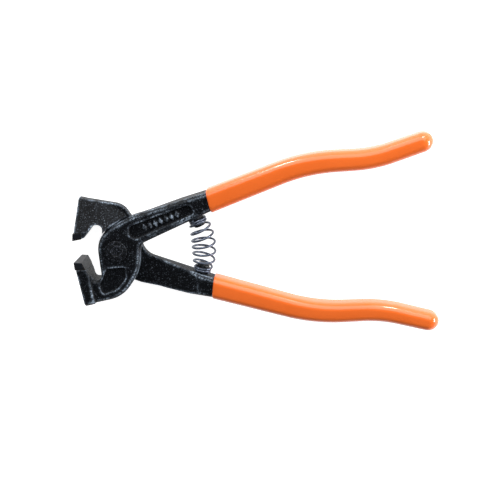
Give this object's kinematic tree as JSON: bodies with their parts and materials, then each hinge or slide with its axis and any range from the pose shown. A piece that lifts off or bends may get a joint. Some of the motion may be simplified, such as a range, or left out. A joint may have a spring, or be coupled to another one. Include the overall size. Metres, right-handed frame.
{
  "type": "tile nippers",
  "caption": "Hand tile nippers: lapped forged levers on a rivet, brazed carbide jaw tips, a barrel return spring and dipped orange grips.",
  "frame": {"origin": "on the pivot's axis, at the flat face of the rivet's head, which is level with the back of the upper jaw and of both tips", "axes": "+X along the handles away from the jaws, +Y toward the upper handle, +Z along the pivot from the rivet's head to its peened end"},
  "size_m": [0.2024, 0.113, 0.016],
  "materials": {
    "forged_steel": "black oxide over forging scale, satin",
    "carbide": "ground, satin",
    "braze": "darkened silver braze, satin",
    "rivet_steel": "oiled black, semi-gloss",
    "spring_steel": "blued wire, semi-gloss",
    "grip_vinyl": "dipped vinyl, gloss"
  },
  "bodies": {
    "rear_lever": {"rear_lever": "forged_steel", "pivot_rivet": "rivet_steel", "rivet_washer": "rivet_steel", "upper_jaw_tip": "carbide", "upper_tip_braze": "braze", "lower_grip": "grip_vinyl", "lower_spring_peg": "rivet_steel", "return_spring": "spring_steel"},
    "front_lever": {"front_lever": "forged_steel", "lower_jaw_tip": "carbide", "lower_tip_braze": "braze", "upper_grip": "grip_vinyl", "upper_spring_peg": "rivet_steel"}
  },
  "joints": [
    {"name": "jaw_pivot", "type": "hinge", "parent": "rear_lever", "child": "front_lever", "pos_m": [0, 0, 0.008], "axis": [0, 0, -1], "range_deg": [0, 24.5], "stiffness_Nm_per_rad": 1.5, "springref_deg": -11.46, "deforming": ["return_spring"]}
  ]
}
